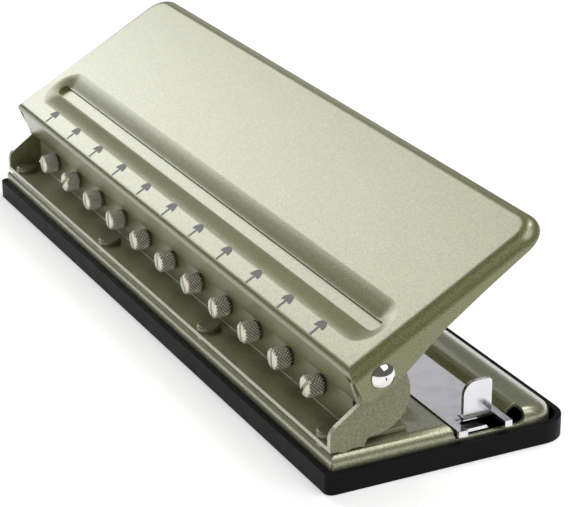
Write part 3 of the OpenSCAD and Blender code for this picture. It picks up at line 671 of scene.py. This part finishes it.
KNOB_EDGE = 0.05
GROOVE_SHADE = 0.04
knob_nickel = bright_plate("knob_nickel", (0.98, 0.93, 0.79), roughness=0.26, edge=KNOB_EDGE * MM)
tree, shader = knob_nickel.node_tree, knob_nickel.node_tree.nodes["Principled BSDF"]
plating = shader.inputs["Base Color"].links[0].from_socket
# Painted shade: the plating is darkened in the knurl's grooves, except on the slotted face.
coords = add_node(tree, "ShaderNodeTexCoord")
flat = math_node(tree, "MULTIPLY", coords.outputs["Object"], (1, 1, 0), kind="ShaderNodeVectorMath")
reach = math_node(tree, "LENGTH", flat.outputs["Vector"], kind="ShaderNodeVectorMath")
share = add_node(tree, "ShaderNodeMapRange", From_Min=0, From_Max=KNOB_R * MM, To_Min=0, To_Max=1)
tree.links.new(reach.outputs["Value"], share.inputs["Value"])
groove = 1 - KNURL_DEPTH / KNOB_R
groove_shade_ramp = ramp(tree, share.outputs["Result"], (groove - 0.03, 1), (groove - 0.01, GROOVE_SHADE),
             (groove + 0.018, GROOVE_SHADE), (groove + 0.06, 1))
place = add_node(tree, "ShaderNodeSeparateXYZ")
tree.links.new(coords.outputs["Object"], place.inputs["Vector"])
on_face = add_node(tree, "ShaderNodeMapRange", From_Min=(KNOB_L - 0.75) * MM,
                   From_Max=(KNOB_L - 0.5) * MM, To_Min=0, To_Max=1)
tree.links.new(place.outputs["Z"], on_face.inputs["Value"])
unshaded_share = math_node(tree, "MAXIMUM", groove_shade_ramp.outputs["Color"], on_face.outputs["Result"])
groove_shaded_plating = math_node(tree, "SCALE", plating, kind="ShaderNodeVectorMath")
tree.links.new(unshaded_share.outputs[0], groove_shaded_plating.inputs["Scale"])
tree.links.new(groove_shaded_plating.outputs["Vector"], shader.inputs["Base Color"])
shader.inputs["Metallic"].default_value = 0.3
knob_mesh.materials.clear()
knob_mesh.materials.append(knob_nickel)
for k, turn in enumerate(SLOT_TURN, 1):
    knob = add_object(f"knurled_knob_{k:02d}", knob_mesh)
    seat = Matrix.Translation(Vector((punch_x(k), KNOB_FACE_Y, KNOB_Z)) * MM)
    outward = Matrix.Rotation(math.pi / 2, 4, "X")
    knob.matrix_world = seat @ outward @ Matrix.Rotation(math.radians(turn), 4, "Z")
    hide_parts(f"knob_{k:02d}")
    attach(knob, f"knob_{k:02d}")


# Lid. One wide pressed lever in pale champagne-green flake paint: rounded edges, leaning rear
# skirt, long soft trough with a flat slot that presses the bar. It turns on two domed rivets.
lid_paint = metallic_paint("lid_paint", (0.2, 0.21, 0.066), (0.5, 0.5, 0.3), roughness=0.36,
                           metallic=0.24, gloss=1.0, flake=2.4)
lid_sheet = smooth_sheet("lid", "lid_sheet", lid_paint)
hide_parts("lid")
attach(lid_sheet, "lid")


# Hole marks. A small grey printed mushroom over each punch, on the flat strip between the
# trough and the lid's rear edge, shows where the holes fall.
LID_TILT = math.radians(29.6)
LID_PIVOT = Vector((0, -27.37, 39.52))
LID_REAR_FROM_PIVOT = Vector((0, -8.95, 8.85))
MARK_STEM = (2.0, 6.1)
MARK_TIP = 9.3
MARK_HALF_STEM = 0.7
MARK_HALF_HEAD = 3.2
MARK_GILL = (1.7, 0.35)
MARK_DROOP = (0.15, 0.5)
CAP_DROP = 0.1
CAP_STEPS = 16
PRINT_LIFT = 0.02
lid_place = (Matrix.Translation(LID_PIVOT * MM) @ Matrix.Rotation(LID_TILT, 4, "X")
             @ Matrix.Translation(LID_REAR_FROM_PIVOT * MM) @ Matrix.Scale(MM, 4))


def mushroom_outline():
    """Stem and half-round cap with drooping corners, drawn from the stem's foot."""
    foot, neck = MARK_STEM
    cap = [(MARK_HALF_HEAD * math.cos(a), neck - CAP_DROP + (MARK_TIP - neck) * math.sin(a))
           for a in (math.pi * i / CAP_STEPS for i in range(CAP_STEPS + 1))]
    gill_x, gill_y = MARK_GILL[0], neck - MARK_GILL[1]
    droop_x, droop_y = MARK_HALF_HEAD - MARK_DROOP[0], neck - MARK_DROOP[1]
    return ([(-MARK_HALF_STEM, foot), (MARK_HALF_STEM, foot), (MARK_HALF_STEM, neck),
             (gill_x, gill_y), (droop_x, droop_y)] + cap
            + [(-droop_x, droop_y), (-gill_x, gill_y), (-MARK_HALF_STEM, neck)])


print_mesh = bmesh.new()
for k in PUNCHES:
    outline = [(punch_x(k) + x, u, PRINT_LIFT) for x, u in mushroom_outline()]
    print_mesh.faces.new([print_mesh.verts.new(corner) for corner in outline])
print_mesh.normal_update()
bmesh.ops.triangulate(print_mesh, faces=print_mesh.faces)
marks_mesh = bpy.data.meshes.new("hole_marks")
print_mesh.to_mesh(marks_mesh)
print_mesh.free()
marks_mesh.transform(lid_place)
material, tree, shader = new_material("mark_print")
coords = add_node(tree, "ShaderNodeTexCoord")
ink = add_node(tree, "ShaderNodeTexNoise", Scale=1500, Detail=3)
tree.links.new(coords.outputs["Object"], ink.inputs["Vector"])
tint = ramp(tree, ink.outputs["Fac"], (0.3, (0.15, 0.15, 0.15)), (0.7, (0.24, 0.24, 0.24)))
tree.links.new(tint.outputs["Color"], shader.inputs["Base Color"])
shader.inputs["Roughness"].default_value = 0.55
marks_mesh.materials.append(material)
hole_marks = add_object("hole_marks", marks_mesh)
ink_film = hole_marks.modifiers.new("ink_film", "SOLIDIFY")
ink_film.thickness = PRINT_LIFT * MM
ink_film.offset = -1
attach(hole_marks, "lid")


# Pivot rivets and paper guide. Bright chrome, faintly clouded where it is handled; the guide
# is a flat plate with a forked end and an upturned stop tab.
chrome = bright_plate("bright_chrome", (0.82, 0.8, 0.77), roughness=0.07)
finish_nodes(chrome, "pivot_rivets")
guide_chrome = bright_plate("guide_chrome", (0.76, 0.76, 0.79), roughness=0.16)
finish_nodes(guide_chrome, "paper_guide")
